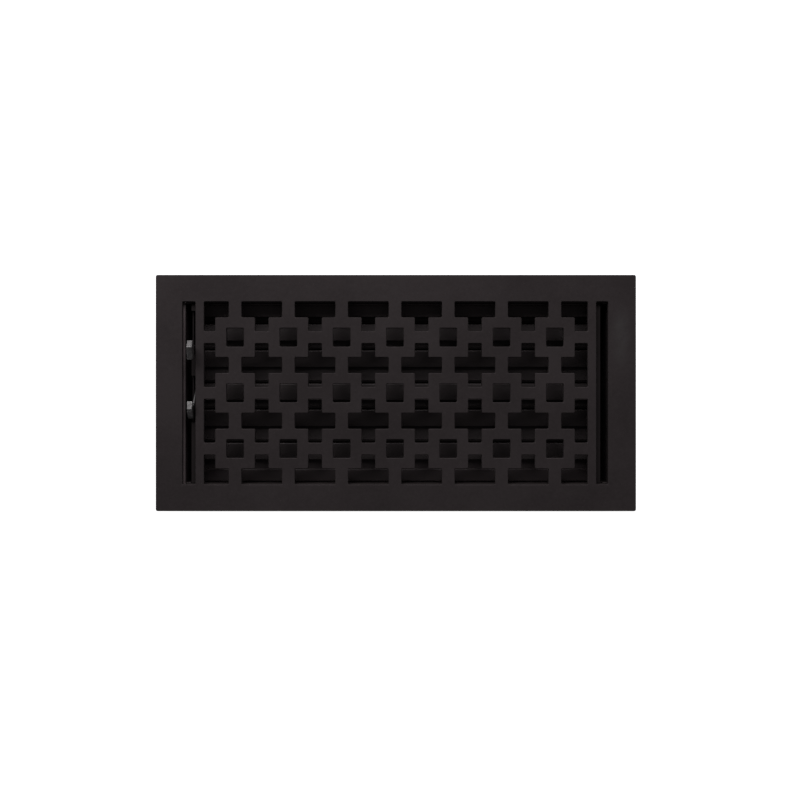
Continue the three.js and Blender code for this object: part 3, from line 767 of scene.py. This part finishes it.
def finger_lever(name, body, arm_lean, knob_lean, knob_centre):
    """A flat arm with a hub round its blade's rod, and a knob on its top end."""
    across = BLADES[body]["across"]
    outer = -LEVER_INNER - LEVER_PLATE
    bm = bmesh.new()
    half_width = LEVER_ARM_WIDTH / 2
    verts = add_block(
        bm, (outer, -half_width, 0), (-LEVER_INNER, half_width, LEVER_ARM_HEIGHT), LEVER_ARM_ARRIS,
    )
    verts += add_bar(bm, LEVER_HUB_RADIUS, outer, -LEVER_INNER, 0, 0, LEVER_ARM_ARRIS, 32)
    bmesh.ops.rotate(bm, verts=verts, matrix=Matrix.Rotation(math.radians(arm_lean), 3, "X"))
    fresh = bmesh.new()
    fresh.faces.new([fresh.verts.new((y, z, 0)) for y, z in KNOB_OUTLINE])
    half = KNOB_THICKNESS / 2
    knob = finish_outline(bm, fresh, knob_centre - half, knob_centre + half, KNOB_ARRIS)
    bmesh.ops.rotate(
        bm, verts=knob, cent=(0, 0, LEVER_ARM_HEIGHT),
        matrix=Matrix.Rotation(math.radians(knob_lean), 3, "X"),
    )
    top = Matrix.Rotation(math.radians(arm_lean), 3, "X") @ Vector((0, 0, LEVER_ARM_HEIGHT))
    bmesh.ops.translate(bm, verts=knob, vec=top - Vector((0, 0, LEVER_ARM_HEIGHT)))
    bmesh.ops.translate(bm, verts=bm.verts, vec=(0, across, ROD_HEIGHT))
    keep_piece(bm, f"finger_{name}", body, WORN_STEEL, [name])


# Screws

def hex_screw(name, seat, washer_radius, washer, hex_radius, head_height, shank_radius, shank):
    """A self-tapping screw that points up, its washer head below the sheet."""
    low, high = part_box(name)
    x, y = (low[0] + high[0]) / 2, (low[1] + high[1]) / 2
    bm = bmesh.new()
    stages = [
        (washer_radius, washer, -washer, 32),
        (hex_radius, head_height - washer, -head_height, 6),
        (shank_radius, shank, 0, 20),
    ]
    for radius, depth, bottom, segments in stages:
        fresh = bmesh.new()
        bmesh.ops.create_cone(
            fresh, cap_ends=True, segments=segments, radius1=radius, radius2=radius, depth=depth,
        )
        soften(fresh, sharp_edges(fresh, 60), SCREW_ARRIS)
        bmesh.ops.translate(fresh, verts=fresh.verts, vec=(0, 0, bottom + depth / 2))
        merge_into(bm, fresh)
    bmesh.ops.translate(bm, verts=bm.verts, vec=(x, y, seat))
    keep_piece(bm, f"hex_{name}", "root", SCREW_STEEL, [name])


def all_screws():
    for kind, sizes in SCREWS.items():
        for number in range(1, SCREW_COUNTS[kind] + 1):
            hex_screw(f"{kind}_{number}", **sizes)


# Solids that show as they are

def coat_solid(node_name, finish):
    """Gives a solid that shows as it is its finish."""
    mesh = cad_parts[node_name].data
    mesh.materials.clear()
    mesh.materials.append(finish)


# Studio

def studio_floor():
    """A wide floor that glows, but for the painted shade round the box."""
    bm = bmesh.new()
    bmesh.ops.create_grid(bm, x_segments=1, y_segments=1, size=FLOOR_HALF_SIZE)
    mesh = bpy.data.meshes.new("studio_floor")
    bm.to_mesh(mesh)
    bm.free()
    made, tree = start_material("pale_floor")
    place = add_node(tree, "ShaderNodeTexCoord").outputs["Object"]
    mirrored = add_node(tree, "ShaderNodeVectorMath", {0: place}, operation="ABSOLUTE").outputs[0]
    away = add_node(tree, "ShaderNodeSeparateXYZ", {"Vector": mirrored})
    past_x = map_range(tree, away.outputs["X"], *BOX_SHADE_X, 0, 1)
    past_y = map_range(tree, away.outputs["Y"], *BOX_SHADE_Y, 0, 1)
    lit = add_node(tree, "ShaderNodeMath", {0: past_x, 1: past_y}, operation="MAXIMUM").outputs[0]
    glow = map_range(tree, lit, 0, 1, 0, FLOOR_GLOW)
    # The dark tone and the missing glow round the box are painted shade
    tone = blend_colours(tree, lit, FLOOR_SHADE, FLOOR_PALE)
    finish_surface(tree, {
        "Base Color": tone, "Roughness": 0.9, "Specular IOR Level": 0.1,
        "Emission Color": (1, 1, 1, 1), "Emission Strength": glow,
    })
    mesh.materials.append(made)
    floor = bpy.data.objects.new("studio_floor", mesh)
    bpy.context.scene.collection.objects.link(floor)


def soft_light(name, place, aim, size, power):
    data = bpy.data.lights.new(name, "AREA")
    data.shape = "RECTANGLE"
    data.size, data.size_y = size
    data.energy = power
    lamp = bpy.data.objects.new(name, data)
    lamp.location = place
    lamp.rotation_euler = (Vector(aim) - Vector(place)).to_track_quat("-Z", "Y").to_euler()
    bpy.context.scene.collection.objects.link(lamp)


def studio_air():
    """The room's own light, the same from all sides."""
    world = bpy.data.worlds.new("studio_air")
    world.use_nodes = True
    background = world.node_tree.nodes["Background"]
    background.inputs["Color"].default_value = (1, 1, 1, 1)
    background.inputs["Strength"].default_value = AIR_LIGHT
    return world


def studio():
    """The floor, the light, and the camera, which looks straight down."""
    scene = bpy.context.scene
    studio_floor()
    soft_light("window", **WINDOW)
    scene.world = studio_air()
    scene.view_settings.view_transform = "Standard"
    lens = bpy.data.cameras.new("camera")
    lens.lens = CAMERA_LENS
    lens.clip_start = CAMERA_CLIP_START
    camera = bpy.data.objects.new("camera", lens)
    camera.location = CAMERA_PLACE
    scene.collection.objects.link(camera)
    scene.camera = camera


# The object

cast_face()
for blade_body, blade in BLADES.items():
    louver_blade(blade_body, **blade)
fixed_ledges()
for box_end, wall_face in END_WALL_FACES.items():
    end_wall(box_end, wall_face)
side_wall("back", 1)
side_wall("front", -1)
for lever_name, lever in LEVERS.items():
    finger_lever(lever_name, **lever)
all_screws()
# Brackets and link bars are drawn darker than the coated sheet: painted shade
for end_name in ("left", "right"):
    coat_solid(f"bearing_bracket_{end_name}", BRACKET_PAINTED_SHADE_SHEET)
    coat_solid(f"link_bar_{end_name}", PAINTED_SHADE_SHEET)
studio()
